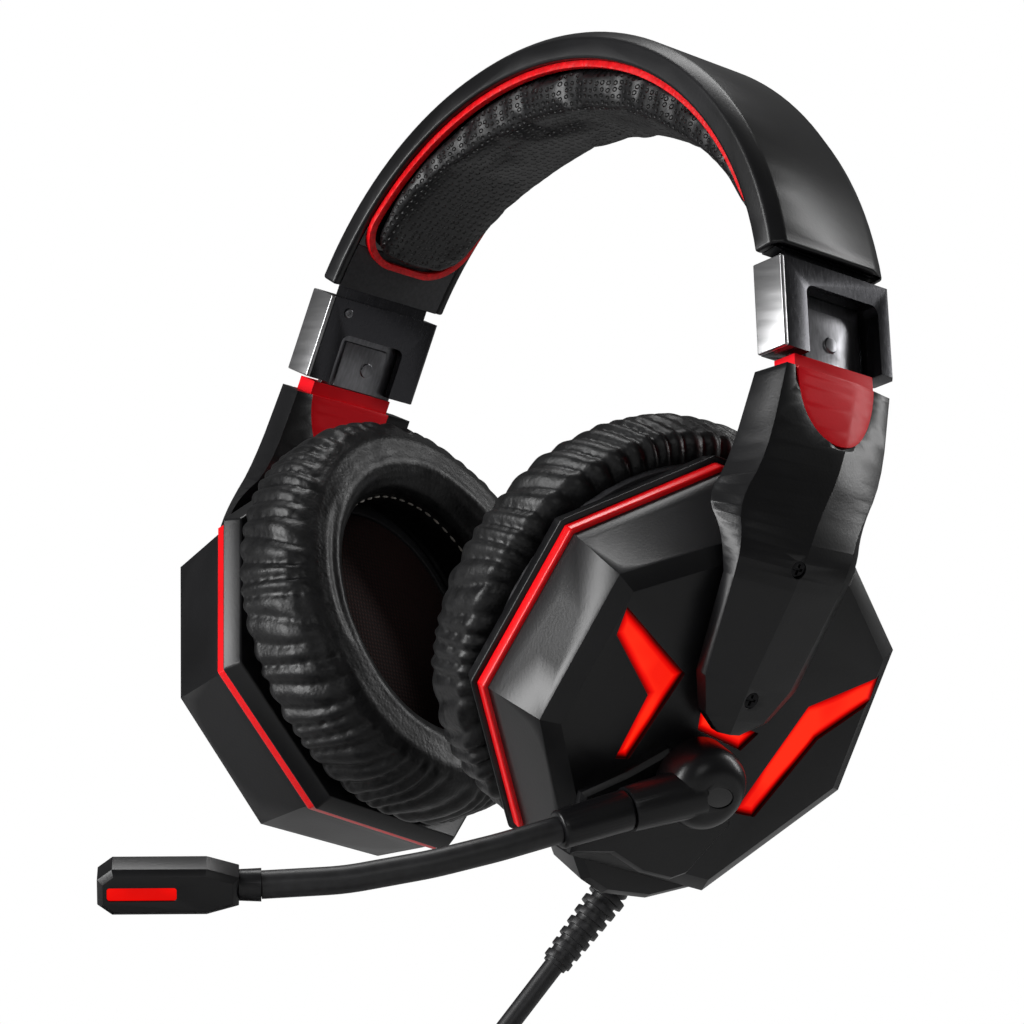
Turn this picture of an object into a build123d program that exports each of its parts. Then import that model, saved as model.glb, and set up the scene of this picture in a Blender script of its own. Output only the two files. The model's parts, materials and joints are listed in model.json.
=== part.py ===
from build123d import *
from math import cos, pi, radians, sin, tan
import os

# Over-ear gaming headset, millimetres, +Z up.
# +X is the wearer's left (the cup with the microphone and the cord), -Y is the wearer's front.
# The origin is the crown pad's underside, where the wearer's head carries the headset.

os.makedirs("parts", exist_ok=True)

# ---- driving dimensions ----
BAND_R = 86.0  # outside of the headband
BAND_WALL = 1.8
BAND_LIP_R = 79.0  # inner edge of the headband's side walls
BAND_W = 34.8  # front to back
BAND_END = 22.0  # degrees above the horizontal where the shell stops
PAD_R = 67.7  # underside of the crown pad at its middle
PAD_UNDER_R = 83.0  # curve of the crown pad's underside, which thins towards its ends
PAD_END = 27.5  # degrees above the horizontal where the crown pad stops
PIPING = 1.6

CUP_X, CUP_Y, CUP_Z = 56.2, -8.4, -122.0  # centre of the left cup at its accent ring
CUP_YAW = 4.8  # outer face turned to the front
CUP_LEAN = 23.2  # outer face turned down
FACE_W = 21.3  # outer face of the cup above its accent ring
SHELL_WALL = 2.0

BRACKET_X, BRACKET_Z = 82.5, -59.6  # bottom centre of the left yoke bracket
BRACKET_LEAN = 15.4
BRACKET_H, BRACKET_W, BRACKET_T = 20.6, 34.4, 8.4
BRACKET_GAP = 4.0  # bracket to arm with the band at its smallest
PLATE_W, PLATE_T, PLATE_Z = 21.4, 1.5, -1.15  # slider plate and its depth below the bracket's middle
PAD_RISE = 0.8  # raised pads on both faces of the slider plate
PLATE_UP = 28.0  # how far the slider plate reaches above the bracket's bottom

HINGE_V, HINGE_W = 14.0, 16.5  # tilt pin, from the cup's centre
PIN_D = 3.0

HUB_X, HUB_V = -2.0, -20.0  # microphone hub's axis on the cup's face
BOOM_D = 5.8
CORD_D = 4.5
FLOOR_Z = -240.0  # level that the coiled cord lies on
COIL_X, COIL_Y = -2.0, -88.0
COIL_R_IN, COIL_R_OUT, COIL_H = 17.0, 35.0, 13.5
TIE_T = 1.2


def save(part, name):
    part.label = name
    export_step(part, f"parts/{name}.step")


# ---- frames of the left side ----
yaw, lean = radians(CUP_YAW), radians(CUP_LEAN)
cup_rear = Vector(sin(yaw), cos(yaw), 0)
cup_out = Vector(cos(yaw) * cos(lean), -sin(yaw) * cos(lean), -sin(lean))
CUP = Plane(origin=(CUP_X, CUP_Y, CUP_Z), x_dir=cup_rear, z_dir=cup_out)
tip_in = radians(BRACKET_LEAN)
BRACKET = Plane(origin=(BRACKET_X, 0, BRACKET_Z), x_dir=(0, 1, 0), z_dir=(cos(tip_in), 0, sin(tip_in)))


def on(plane, x, y, z=0.0):
    """World position of a point given in a plane's own axes."""
    return plane.origin + plane.x_dir * x + plane.y_dir * y + plane.z_dir * z


def raised(plane, height):
    return plane.offset(height)


def scaled(outline, factor, centre=(0, -7)):
    cx, cy = centre
    return [(cx + (x - cx) * factor, cy + (y - cy) * factor) for x, y in outline]


def both_sides(left, name):
    """Write a left-hand piece and its mirror image, each as a node."""
    save(left, f"{name}_left")
    with BuildPart() as other:
        add(mirror(left, about=Plane.YZ))
    save(other.part, f"{name}_right")


def paired(left, name):
    """Write a left-hand piece and its mirror image as one node of the headband."""
    with BuildPart() as pair:
        add(left)
        add(mirror(left, about=Plane.YZ))
    save(pair.part, name)


# ================= headband =================
band_centre = (0, 0, -PAD_R)
BAND_AXIS = Axis(band_centre, (0, -1, 0))


def band_section(end):
    """Plane across the band at an end angle: x along the radius, y to the rear."""
    angle = radians(end)
    return Plane(origin=band_centre, x_dir=(cos(angle), 0, sin(angle)), z_dir=(-sin(angle), 0, cos(angle)))


def band_sector(r_in, r_out, half_width, end):
    """Block between two radii, from one end angle over the crown to the other."""
    with BuildPart(mode=Mode.PRIVATE) as block:
        with BuildSketch(band_section(end)):
            with Locations(((r_in + r_out) / 2, 0)):
                Rectangle(r_out - r_in, 2 * half_width)
        revolve(axis=BAND_AXIS, revolution_arc=180 - 2 * end)
    return block.part


def rounded_sector(r_in, r_out, half_width, end, corner):
    """Band sector whose four end corners are rounded."""
    with BuildPart(mode=Mode.PRIVATE) as block:
        add(band_sector(r_in, r_out, half_width, end))
        radial = [e for e in block.edges() if e.geom_type == GeomType.LINE and abs(e.length - (r_out - r_in)) < 0.01]
        fillet(radial, corner)
    return block.part


half_band = BAND_W / 2
side_wall = 2.2
cavity_r = BAND_R - BAND_WALL

with BuildPart() as headband_shell:
    with BuildSketch(band_section(BAND_END)):
        with BuildLine():
            Polyline(
                (BAND_LIP_R, -half_band), (BAND_R - 2.2, -half_band), (BAND_R, -half_band + 2.6),
                (BAND_R, half_band - 5.0), (BAND_R - 2.2, half_band), (BAND_LIP_R, half_band),
                (BAND_LIP_R, half_band - side_wall), (cavity_r, half_band - side_wall),
                (cavity_r, side_wall - half_band), (BAND_LIP_R, side_wall - half_band), close=True,
            )
        make_face()
    revolve(axis=BAND_AXIS, revolution_arc=180 - 2 * BAND_END)
save(headband_shell.part, "headband_shell")

liner_t = 1.6
block_end = 30.0  # degrees where the end blocks stop and the liner and spring start
inner_half = half_band - side_wall
with BuildPart() as headband_liner:
    add(band_sector(BAND_LIP_R, BAND_LIP_R + liner_t, inner_half, block_end))
save(headband_liner.part, "headband_liner")

with BuildPart() as headband_spring:
    add(band_sector(cavity_r - 0.9, cavity_r, 8.0, block_end))
save(headband_spring.part, "headband_spring")

TONGUE_W, TONGUE_IN, TONGUE_OUT, TONGUE_UP = 25.0, -2.9, 1.0, 28.0  # bracket's tongue inside the band
PLATE_FIT = 0.25


def bracket_box(x0, x1, y0, y1, z0, z1):
    """Box in the bracket's axes: x to the rear, y up along it, z outward."""
    with BuildPart(mode=Mode.PRIVATE) as block:
        with BuildSketch(raised(BRACKET, z0)):
            with Locations(((x0 + x1) / 2, (y0 + y1) / 2)):
                Rectangle(x1 - x0, y1 - y0)
        extrude(amount=z1 - z0)
    return block.part


slot_z = (PLATE_Z - PLATE_T / 2 - PLATE_FIT, PLATE_Z + PLATE_T / 2 + PLATE_FIT)
plate_half = PLATE_W / 2
slot_half = plate_half + PLATE_FIT
plate_slot = bracket_box(-slot_half, slot_half, -2, TONGUE_UP + 6, *slot_z)

with BuildPart() as end_block:
    add(band_sector(BAND_LIP_R, cavity_r, inner_half, BAND_END))
    add(band_sector(BAND_LIP_R - 1, cavity_r + 1, inner_half + 1, block_end), mode=Mode.SUBTRACT)
    split(bisect_by=Plane.YZ)
    add(bracket_box(-TONGUE_W / 2, TONGUE_W / 2, 0, TONGUE_UP, TONGUE_IN, TONGUE_OUT), mode=Mode.SUBTRACT)
    add(bracket_box(-BRACKET_W, BRACKET_W, 0, BRACKET_H, -9, 9), mode=Mode.SUBTRACT)
    add(plate_slot, mode=Mode.SUBTRACT)
paired(end_block.part, "headband_ends")

piping_half = 15.6
with BuildPart() as headband_piping:
    add(rounded_sector(BAND_LIP_R - PIPING, BAND_LIP_R, piping_half, PAD_END, 11.0))
    add(
        rounded_sector(BAND_LIP_R - PIPING - 1, BAND_LIP_R + 1, piping_half - PIPING, PAD_END + 1.2, 9.6),
        mode=Mode.SUBTRACT,
    )
save(headband_piping.part, "headband_piping")

with BuildPart() as crown_pad:
    add(rounded_sector(PAD_R - 6, BAND_LIP_R, piping_half - PIPING, PAD_END + 1.2, 9.6))
    with BuildSketch(Plane(origin=(0, 0, -PAD_UNDER_R), x_dir=(1, 0, 0), z_dir=(0, -1, 0))):
        Circle(PAD_UNDER_R)
    extrude(amount=BAND_W, both=True, mode=Mode.SUBTRACT)
save(crown_pad.part, "crown_pad")

# ================= yoke brackets =================
face_t = 1.2
with BuildPart() as bracket:
    add(bracket_box(face_t - BRACKET_W / 2, BRACKET_W / 2, 0, BRACKET_H, -BRACKET_T / 2, BRACKET_T / 2))
    rear_edges = bracket.edges().filter_by(Axis(BRACKET.origin, BRACKET.y_dir)).group_by(Axis.Y)[-1]
    chamfer(rear_edges, 1.6)
    add(bracket_box(-TONGUE_W / 2, TONGUE_W / 2, BRACKET_H, TONGUE_UP, TONGUE_IN, TONGUE_OUT))
    add(plate_slot, mode=Mode.SUBTRACT)
    with BuildSketch(raised(BRACKET, slot_z[0])):
        with Locations((1.2, 6.0)):
            RectangleRounded(22.0, 19.0, 2.0)
    extrude(amount=BRACKET_T, mode=Mode.SUBTRACT)
    with BuildSketch(raised(BRACKET, slot_z[1])):
        with Locations((-0.8, 4.4)):
            RectangleRounded(19.0, 15.6, 2.0)
    extrude(amount=-BRACKET_T, mode=Mode.SUBTRACT)
both_sides(bracket.part, "bracket")

with BuildPart() as bracket_face:
    with BuildSketch(raised(BRACKET, -BRACKET_T / 2)):
        with Locations(((face_t - BRACKET_W) / 2, BRACKET_H / 2)):
            Rectangle(face_t, BRACKET_H)
    extrude(amount=BRACKET_T)
paired(bracket_face.part, "bracket_faces")

screw_places = [(-11.0, 17.4)]
with BuildPart() as bracket_screws:
    with BuildSketch(raised(BRACKET, -BRACKET_T / 2)):
        with Locations(*screw_places):
            Circle(1.1)
    extrude(amount=-0.5)
    with BuildSketch(raised(BRACKET, -BRACKET_T / 2 - 0.5)):
        with Locations(*screw_places):
            RegularPolygon(0.5, 6)
    extrude(amount=0.4, mode=Mode.SUBTRACT)
paired(bracket_screws.part, "bracket_screws")

# ================= arms, one piece per side =================
arm_top = -BRACKET_GAP
plate_foot = arm_top - 9.0


def section(station):
    """One cross-section of the arm: (x, y) corners from the front edge round to the rear one."""
    origin, rear, out, corners = station
    plane = Plane(origin=origin, x_dir=rear, z_dir=rear.cross(out))
    with BuildSketch(plane, mode=Mode.PRIVATE) as outline:
        with BuildLine():
            Polyline(*corners, close=True)
        make_face()
    return outline.sketch


def mixed(first, second, t):
    """Section that lies part of the way between two others."""
    origin, rear, out = [a * (1 - t) + b * t for a, b in zip(first[:3], second[:3])]
    corners = [(a[0] * (1 - t) + b[0] * t, a[1] * (1 - t) + b[1] * t) for a, b in zip(first[3], second[3])]
    return (origin, rear.normalized(), out.normalized(), corners)


def eased(stations):
    """Cuts the kink at every inner section into two smaller ones."""
    cut = [stations[0]]
    for first, second in zip(stations, stations[1:]):
        cut += [mixed(first, second, 0.25), mixed(first, second, 0.75)]
    return cut + [stations[-1]]


bend = radians((CUP_LEAN + BRACKET_LEAN) / 2)
bend_out = CUP.z_dir * cos(bend) + CUP.y_dir * sin(bend)
ARM_W = 24.1  # underside of the arm above the cup's accent ring
arm_bend = [
    (on(BRACKET, 0, arm_top, -4.2), BRACKET.x_dir, BRACKET.z_dir,
     [(-18.2, 0), (-17.0, 8.4), (4.4, 8.4), (16.4, 6.4), (17.2, 0)]),
    (on(BRACKET, 0, arm_top - 20, -4.2), BRACKET.x_dir, BRACKET.z_dir,
     [(-22.6, -5.0), (-20.6, 4.8), (-1.6, 8.4), (13.6, 5.0), (17.2, 0)]),
    (on(CUP, 0, 38.5, 18.4), cup_rear, bend_out,
     [(-18.4, -4.6), (-15.0, 2.2), (4.0, 5.6), (17.6, 2.6), (20.4, 0)]),
    (on(CUP, 0, 32.3, 23.6), cup_rear, CUP.z_dir,
     [(-16.8, -2.6), (-14.9, 2.8), (1.9, 3.8), (15.6, 1.6), (18.6, 0)]),
    (on(CUP, 0, 25.0, ARM_W), cup_rear, CUP.z_dir,
     [(-14.8, 0), (-14.4, 3.4), (1.7, 3.9), (15.2, 1.6), (17.8, 0)]),
]
arm_blade = [
    (on(CUP, 0, 3.0, ARM_W), cup_rear, CUP.z_dir,
     [(-11.4, 0), (-11.0, 3.2), (0.7, 3.7), (13.2, 1.6), (16.0, 0)]),
    (on(CUP, 0, -5.0, ARM_W + 0.7), cup_rear, CUP.z_dir,
     [(-7.6, 0), (-7.0, 2.5), (0.9, 2.9), (9.4, 1.4), (11.6, 0)]),
    (on(CUP, 0, -8.6, ARM_W + 1.1), cup_rear, CUP.z_dir,
     [(-2.4, 0), (-2.0, 1.8), (1.4, 2.0), (4.6, 1.0), (5.6, 0)]),
]
arm_sections = [section(station) for station in eased(eased(arm_bend)) + arm_blade]
with BuildPart() as arm_body:
    loft(arm_sections, ruled=True)

INSERT_X, INSERT_HALF, INSERT_LONG = -1.6, 12.0, 16.5


def insert_column(grow, z0, z1):
    """Half ellipse down from the arm's top, extruded through its thickness."""
    with BuildPart(mode=Mode.PRIVATE) as column:
        with BuildSketch(raised(BRACKET, z0)):
            with Locations((INSERT_X, arm_top + 1)):
                Ellipse(INSERT_HALF + grow, INSERT_LONG + grow)
            with Locations((INSERT_X, arm_top + 30)):
                Rectangle(60, 60, mode=Mode.SUBTRACT)
        extrude(amount=z1 - z0)
    return column.part


plate_embedded = bracket_box(-plate_half, plate_half, plate_foot, 0, PLATE_Z - PLATE_T / 2, PLATE_Z + PLATE_T / 2)

# pivot plate: sits in the arm's underside, its two lugs go through the cup's face to the tilt pin
LUG_T, LUG_HALF = 2.0, 3.6
LUG_X = (-3.2, 4.8)  # front faces of the two lugs
PIVOT_T = 1.0
with BuildPart() as pivot_plate:
    with BuildSketch(raised(CUP, ARM_W)):
        with Locations((1.2, 13.0)):
            RectangleRounded(16.0, 26.0, 2.0)
    extrude(amount=PIVOT_T)
    for lug_front in LUG_X:
        with BuildSketch(Plane(origin=on(CUP, lug_front, HINGE_V, HINGE_W), x_dir=CUP.y_dir, z_dir=CUP.x_dir)):
            Circle(LUG_HALF)
            with Locations((0, (ARM_W - HINGE_W) / 2)):
                Rectangle(2 * LUG_HALF, ARM_W - HINGE_W)
            Circle(PIN_D / 2, mode=Mode.SUBTRACT)
        extrude(amount=LUG_T)
both_sides(pivot_plate.part, "pivot_plate")

ARM_SCREWS = [(1.0, 29.7), (3.0, -0.2)]
with BuildPart() as arm:
    add(arm_body.part)
    add(insert_column(0, -12, 12), mode=Mode.SUBTRACT)
    add(insert_column(0.9, 3.5, 12), mode=Mode.SUBTRACT)
    add(plate_embedded, mode=Mode.SUBTRACT)
    with BuildSketch(raised(CUP, ARM_W - 4)):
        with Locations((1.2, 13.0)):
            RectangleRounded(16.0, 26.0, 2.0)
    extrude(amount=PIVOT_T + 4, mode=Mode.SUBTRACT)
    with BuildSketch(raised(CUP, ARM_W + 2.2)):
        with Locations(*ARM_SCREWS):
            Circle(1.9)
    extrude(amount=6, mode=Mode.SUBTRACT)
both_sides(arm.part, "arm")

with BuildPart() as arm_screws:
    with BuildSketch(raised(CUP, ARM_W + 2.2)):
        with Locations(*ARM_SCREWS):
            Circle(1.9)
    extrude(amount=0.8)
    with BuildSketch(raised(CUP, ARM_W + 2.6)):
        with Locations(*ARM_SCREWS):
            Rectangle(2.4, 0.6)
            Rectangle(0.6, 2.4)
    extrude(amount=0.6, mode=Mode.SUBTRACT)
both_sides(arm_screws.part, "arm_screws")

collar_half = 3.0
with BuildPart() as arm_insert:
    add(insert_column(0, -12, 12))
    add(arm_body.part, mode=Mode.INTERSECT)
    add(bracket_box(-13.4, 10.4, arm_top, -0.8, -collar_half, collar_half))
    add(plate_embedded, mode=Mode.SUBTRACT)
both_sides(arm_insert.part, "arm_insert")

with BuildPart() as slider_plate:
    add(bracket_box(-plate_half, plate_half, plate_foot, PLATE_UP, PLATE_Z - PLATE_T / 2, PLATE_Z + PLATE_T / 2))
    # raised pads seen through the bracket's two windows, with the rivet that joins them
    add(bracket_box(-7.2, 8.2, -0.6, 12.4, PLATE_Z + PLATE_T / 2, PLATE_Z + PLATE_T / 2 + PAD_RISE))
    add(bracket_box(-7.6, 5.2, -0.6, 10.6, PLATE_Z - PLATE_T / 2 - PAD_RISE, PLATE_Z - PLATE_T / 2))
    with BuildSketch(raised(BRACKET, PLATE_Z - PLATE_T / 2 - PAD_RISE - 0.5)):
        with Locations((0.6, 5.0)):
            Circle(1.7)
    extrude(amount=PLATE_T + 2 * PAD_RISE + 1.0)
both_sides(slider_plate.part, "slider_plate")

# ================= cups =================
# eight-sided outlines, x to the rear and v up from the cup's centre
FACE_EDGE = [(-35.3, 17.6), (-40.2, -16.5), (-19.5, -44.4), (18.0, -47.0), (42.7, -18.4), (41.4, 15.3),
             (22.8, 30.8), (-6.0, 33.2)]
RING_EDGE = [(-38.4, 20.0), (-44.2, -17.6), (-21.0, -47.0), (19.0, -51.2), (45.4, -20.6), (44.6, 18.0),
             (25.0, 38.4), (-8.0, 41.2)]
shell_base = 1.6


def outline_face(plane, outline):
    with BuildSketch(plane, mode=Mode.PRIVATE) as face:
        with BuildLine():
            Polyline(*outline, close=True)
        make_face()
    return face.sketch


def face_levels(inset, top):
    """Sections of the faceted cup shell, from the accent ring to the outer face."""
    return [
        outline_face(raised(CUP, shell_base - 0.4 * (inset > 0)), scaled(RING_EDGE, 0.975 - inset)),
        outline_face(raised(CUP, 4.6), scaled(RING_EDGE, 0.965 - inset)),
        outline_face(raised(CUP, FACE_W - 2.6 - top * 0.6), scaled(FACE_EDGE, 1.0 - inset)),
        outline_face(raised(CUP, FACE_W - top), scaled(FACE_EDGE, 0.91 - inset * 0.9)),
    ]


# light guides: outlines on the outer face
FRONT_LIGHT = [(-32.2, 12.0), (-11.4, 0.6), (-16.6, -20.2), (-20.0, -20.6), (-18.4, -5.6), (-32.0, 5.6)]
REAR_LIGHT = [(39.0, 9.6), (23.4, -0.6), (15.6, -27.4), (21.4, -27.4), (29.4, -7.4), (39.6, 3.6)]
MIDDLE_LIGHT = [(-3.6, -6.4), (13.4, -8.8), (10.6, -13.4), (-2.4, -10.8)]
GUIDE_DROP = 0.7  # guides sit below the face
GUIDE_T = 2.4


def prism(outline, w0, w1, grow=0.0):
    with BuildPart(mode=Mode.PRIVATE) as block:
        with BuildSketch(raised(CUP, w0)):
            with BuildLine():
                Polyline(*outline, close=True)
            make_face()
            if grow:
                offset(amount=grow, kind=Kind.INTERSECTION)
        extrude(amount=w1 - w0)
    return block.part


def cup_cylinder(x, v, w0, w1, radius, hole=0.0):
    with BuildPart(mode=Mode.PRIVATE) as block:
        with BuildSketch(raised(CUP, w0)):
            with Locations((x, v)):
                Circle(radius)
                if hole:
                    Circle(hole, mode=Mode.SUBTRACT)
        extrude(amount=w1 - w0)
    return block.part


block_x0, block_x1 = LUG_X[0] + LUG_T + 0.3, LUG_X[1] - 0.3
LIGHTS = (FRONT_LIGHT, REAR_LIGHT, MIDDLE_LIGHT)
with BuildPart() as cup_shell:
    loft(face_levels(0.0, 0.0), ruled=True)
    loft(face_levels(0.045, SHELL_WALL), ruled=True, mode=Mode.SUBTRACT)
    for outline in LIGHTS:
        add(prism(outline, FACE_W - 6, FACE_W + 1), mode=Mode.SUBTRACT)
    for lug_front in LUG_X:
        with BuildSketch(raised(CUP, FACE_W - 6)):
            with Locations((lug_front + LUG_T / 2, HINGE_V)):
                Rectangle(LUG_T + 0.8, 2 * LUG_HALF + 3.6)
        extrude(amount=8, mode=Mode.SUBTRACT)
    # tilt bearing block hung under the outer face
    with BuildSketch(raised(CUP, HINGE_W - 4)):
        with Locations(((block_x0 + block_x1) / 2, HINGE_V)):
            Rectangle(block_x1 - block_x0, 10)
    extrude(amount=FACE_W - HINGE_W + 3)
    with BuildSketch(Plane(origin=on(CUP, block_x0 - 1, HINGE_V, HINGE_W), x_dir=CUP.y_dir, z_dir=CUP.x_dir)):
        Circle(PIN_D / 2 + 0.1)
    extrude(amount=block_x1 - block_x0 + 2, mode=Mode.SUBTRACT)
both_sides(cup_shell.part, "cup_shell")

with BuildPart() as light_guides:
    for outline in LIGHTS:
        add(prism(outline, FACE_W - GUIDE_DROP - GUIDE_T, FACE_W - GUIDE_DROP))
both_sides(light_guides.part, "light_guides")

# accent ring between shell and housing
with BuildPart() as accent_ring:
    add(prism(scaled(RING_EDGE, 1.0), -1.4, shell_base))
    add(prism(scaled(RING_EDGE, 0.9), -2, shell_base + 1), mode=Mode.SUBTRACT)
both_sides(accent_ring.part, "accent_ring")

# rear housing that carries the baffle and the cushion
HOUSING_IN = -6.0
with BuildPart() as housing:
    loft([
        outline_face(raised(CUP, HOUSING_IN), scaled(RING_EDGE, 0.99)),
        outline_face(raised(CUP, -1.4), scaled(RING_EDGE, 1.03)),
    ], ruled=True)
    add(prism(scaled(RING_EDGE, 0.9), HOUSING_IN + 2.2, 0), mode=Mode.SUBTRACT)
    add(cup_cylinder(0, -5, HOUSING_IN - 1, 0, 27.0), mode=Mode.SUBTRACT)
both_sides(housing.part, "housing")

# baffle with sound holes, driver behind it
with BuildPart() as baffle:
    add(cup_cylinder(0, -5, HOUSING_IN, HOUSING_IN + 1.6, 27.0))
    with BuildSketch(raised(CUP, HOUSING_IN - 1)):
        with Locations((0, -5)):
            with PolarLocations(14, 12):
                Circle(1.6)
            with PolarLocations(7.5, 6):
                Circle(1.6)
            Circle(1.6)
    extrude(amount=4, mode=Mode.SUBTRACT)
both_sides(baffle.part, "baffle")

driver_back = HOUSING_IN + 1.6
with BuildPart() as driver:
    add(cup_cylinder(0, -5, driver_back, driver_back + 5.0, 20.0, 18.4))
    add(cup_cylinder(0, -5, driver_back + 3.6, driver_back + 5.0, 20.0, 8.0))
    add(cup_cylinder(0, -5, driver_back + 5.0, driver_back + 9.0, 11.5))
both_sides(driver.part, "driver")

# circuit board under the light guides
with BuildPart() as light_board:
    with BuildSketch(raised(CUP, 11.0)):
        with Locations((0, -26)):
            RectangleRounded(44, 18, 2)
    extrude(amount=1.2)
    for post_x in (-13, 9):
        add(cup_cylinder(post_x, -26, 12.2, FACE_W - SHELL_WALL, 2.0))
both_sides(light_board.part, "light_board")

# pin through the two lugs and the cup's bearing block
with BuildPart() as tilt_pin:
    with BuildSketch(Plane(origin=on(CUP, LUG_X[0] - 1, HINGE_V, HINGE_W), x_dir=CUP.y_dir, z_dir=CUP.x_dir)):
        Circle(PIN_D / 2)
    extrude(amount=LUG_X[1] - LUG_X[0] + LUG_T + 2)
both_sides(tilt_pin.part, "tilt_pin")

# cushion carrier, acoustic cloth and ear cushion
CUSHION_BACK, CUSHION_FACE = -8.0, -30.0
with BuildPart() as cushion_carrier:
    with BuildSketch(raised(CUP, CUSHION_BACK)):
        with Locations((0, -3)):
            Ellipse(40, 42)
            Ellipse(29, 31, mode=Mode.SUBTRACT)
    extrude(amount=HOUSING_IN - CUSHION_BACK)
both_sides(cushion_carrier.part, "cushion_carrier")

with BuildPart() as speaker_cloth:
    with BuildSketch(raised(CUP, CUSHION_BACK + 0.6)):
        with Locations((0, -3)):
            Ellipse(29, 31)
    extrude(amount=1.0)
both_sides(speaker_cloth.part, "speaker_cloth")

with BuildPart() as ear_cushion:
    with BuildSketch(raised(CUP, CUSHION_FACE)):
        with Locations((0, -3)):
            Ellipse(44.5, 47.5)
            Ellipse(25, 28.5, mode=Mode.SUBTRACT)
    extrude(amount=CUSHION_BACK - CUSHION_FACE)
both_sides(ear_cushion.part, "ear_cushion")

# ================= microphone =================
BASE_OUTLINE = [(-26.0, -29.0), (-17.0, -22.6), (-9.0, -15.6), (6.0, -15.6), (14.6, -29.6), (8.6, -42.4),
                (5.0, -44.4), (-3.4, -44.0), (-12.6, -41.0), (-22.6, -42.6)]
BASE_TOP = FACE_W + 2.4
with BuildPart() as mic_base:
    add(prism(BASE_OUTLINE, FACE_W, BASE_TOP))
    chamfer(mic_base.faces().sort_by(Axis(CUP.origin, CUP.z_dir))[-1].edges(), 1.0)
    add(prism(MIDDLE_LIGHT, FACE_W - 1, BASE_TOP + 1, 0.3), mode=Mode.SUBTRACT)
    add(cup_cylinder(HUB_X, HUB_V, FACE_W, BASE_TOP + 1.2, 7.4))
save(mic_base.part, "mic_base")

hub_floor = BASE_TOP + 1.2
HUB = Plane(origin=on(CUP, HUB_X, HUB_V, hub_floor), x_dir=CUP.x_dir, z_dir=CUP.z_dir)
HUB_R, HUB_H = 9.2, 10.5
neck_start = on(CUP, -4.0, -21.0, 30.6)
neck_end = on(CUP, -19.0, -28.0, 30.4)
sleeve_end = on(CUP, -33.5, -35.4, 30.0)


def cone_between(start_point, end_point, r0, r1):
    direction = end_point - start_point
    with BuildPart(mode=Mode.PRIVATE) as rod:
        with BuildSketch(Plane(origin=start_point, z_dir=direction)):
            Circle(r0)
        with BuildSketch(Plane(origin=end_point, z_dir=direction)):
            Circle(r1)
        loft()
    return rod.part


with BuildPart() as mic_hub:
    with BuildSketch(HUB):
        Circle(HUB_R)
    extrude(amount=HUB_H)
    fillet(mic_hub.faces().sort_by(Axis(CUP.origin, CUP.z_dir))[-1].edges(), 5.0)
    add(cone_between(neck_start, neck_end, 5.6, 4.8))
    with BuildSketch(HUB.offset(HUB_H - 0.8)):
        with Locations((0.6, 0)):
            Ellipse(3.6, 2.4)
    extrude(amount=2, mode=Mode.SUBTRACT)
save(mic_hub.part, "mic_hub")

with BuildPart() as mic_hub_cap:
    with BuildSketch(HUB.offset(HUB_H - 0.8)):
        with Locations((0.6, 0)):
            Ellipse(3.6, 2.4)
    extrude(amount=0.6)
save(mic_hub_cap.part, "mic_hub_cap")

with BuildPart() as boom_sleeve:
    add(cone_between(neck_end, sleeve_end, 4.4, 4.1))
    add(mic_hub.part, mode=Mode.SUBTRACT)
save(boom_sleeve.part, "boom_sleeve")

boom_points = [
    sleeve_end, on(CUP, -45.5, -41.8, 29.2), on(CUP, -58.0, -48.6, 27.2), on(CUP, -73.5, -57.0, 22.6),
    on(CUP, -88.0, -63.4, 16.6),
]
with BuildPart() as boom_tube:
    with BuildLine() as boom_line:
        FilletPolyline(*boom_points, radius=60)
    with BuildSketch(Plane(origin=boom_line.line @ 0, z_dir=boom_line.line % 0)):
        Circle(BOOM_D / 2)
    sweep()
    add(boom_sleeve.part, mode=Mode.SUBTRACT)
save(boom_tube.part, "boom_tube")

boom_end = boom_line.line @ 1
mic_dir = (on(CUP, -116.0, -75.2, 2.4) - on(CUP, -88.0, -63.4, 16.6)).normalized()
mic_side = mic_dir.cross(CUP.z_dir).normalized()
MIC = Plane(origin=boom_end, x_dir=mic_dir, z_dir=mic_side.cross(mic_dir))
mic_collar_end = boom_end + mic_dir * 4.5
with BuildPart() as mic_collar:
    add(cone_between(boom_end, mic_collar_end, 3.4, 3.2))
    add(boom_tube.part, mode=Mode.SUBTRACT)
save(mic_collar.part, "mic_collar")

MIC_T = 7.8
LIGHT_AT = 24.0  # middle of the lit bar along the housing
with BuildPart() as mic_housing:
    with BuildSketch(raised(MIC, -MIC_T / 2)):
        with BuildLine():
            Polyline((4.5, -3.2), (11, -5.2), (30, -5.2), (33, -2.8), (33, 2.8), (30, 5.2), (11, 5.2), (4.5, 3.2), close=True)
        make_face()
    extrude(amount=MIC_T)
    chamfer(mic_housing.faces().sort_by(Axis(MIC.origin, MIC.z_dir))[-1].edges(), 1.2)
    chamfer(mic_housing.faces().sort_by(Axis(MIC.origin, MIC.z_dir))[0].edges(), 1.2)
    with BuildSketch(raised(MIC, MIC_T / 2 - 1.2)):
        with Locations((LIGHT_AT, 0)):
            RectangleRounded(14, 3.0, 0.6)
    extrude(amount=2, mode=Mode.SUBTRACT)
    with BuildSketch(raised(MIC, -MIC_T / 2)):
        with Locations((LIGHT_AT, 0)):
            Circle(3.2)
    extrude(amount=3, mode=Mode.SUBTRACT)
save(mic_housing.part, "mic_housing")

with BuildPart() as mic_light:
    with BuildSketch(raised(MIC, MIC_T / 2 - 1.2)):
        with Locations((LIGHT_AT, 0)):
            RectangleRounded(14, 3.0, 0.6)
    extrude(amount=0.9)
save(mic_light.part, "mic_light")

with BuildPart() as mic_capsule:
    with BuildSketch(raised(MIC, -MIC_T / 2 + 0.4)):
        with Locations((LIGHT_AT, 0)):
            Circle(3.2)
    extrude(amount=2.6)
save(mic_capsule.part, "mic_capsule")

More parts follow.
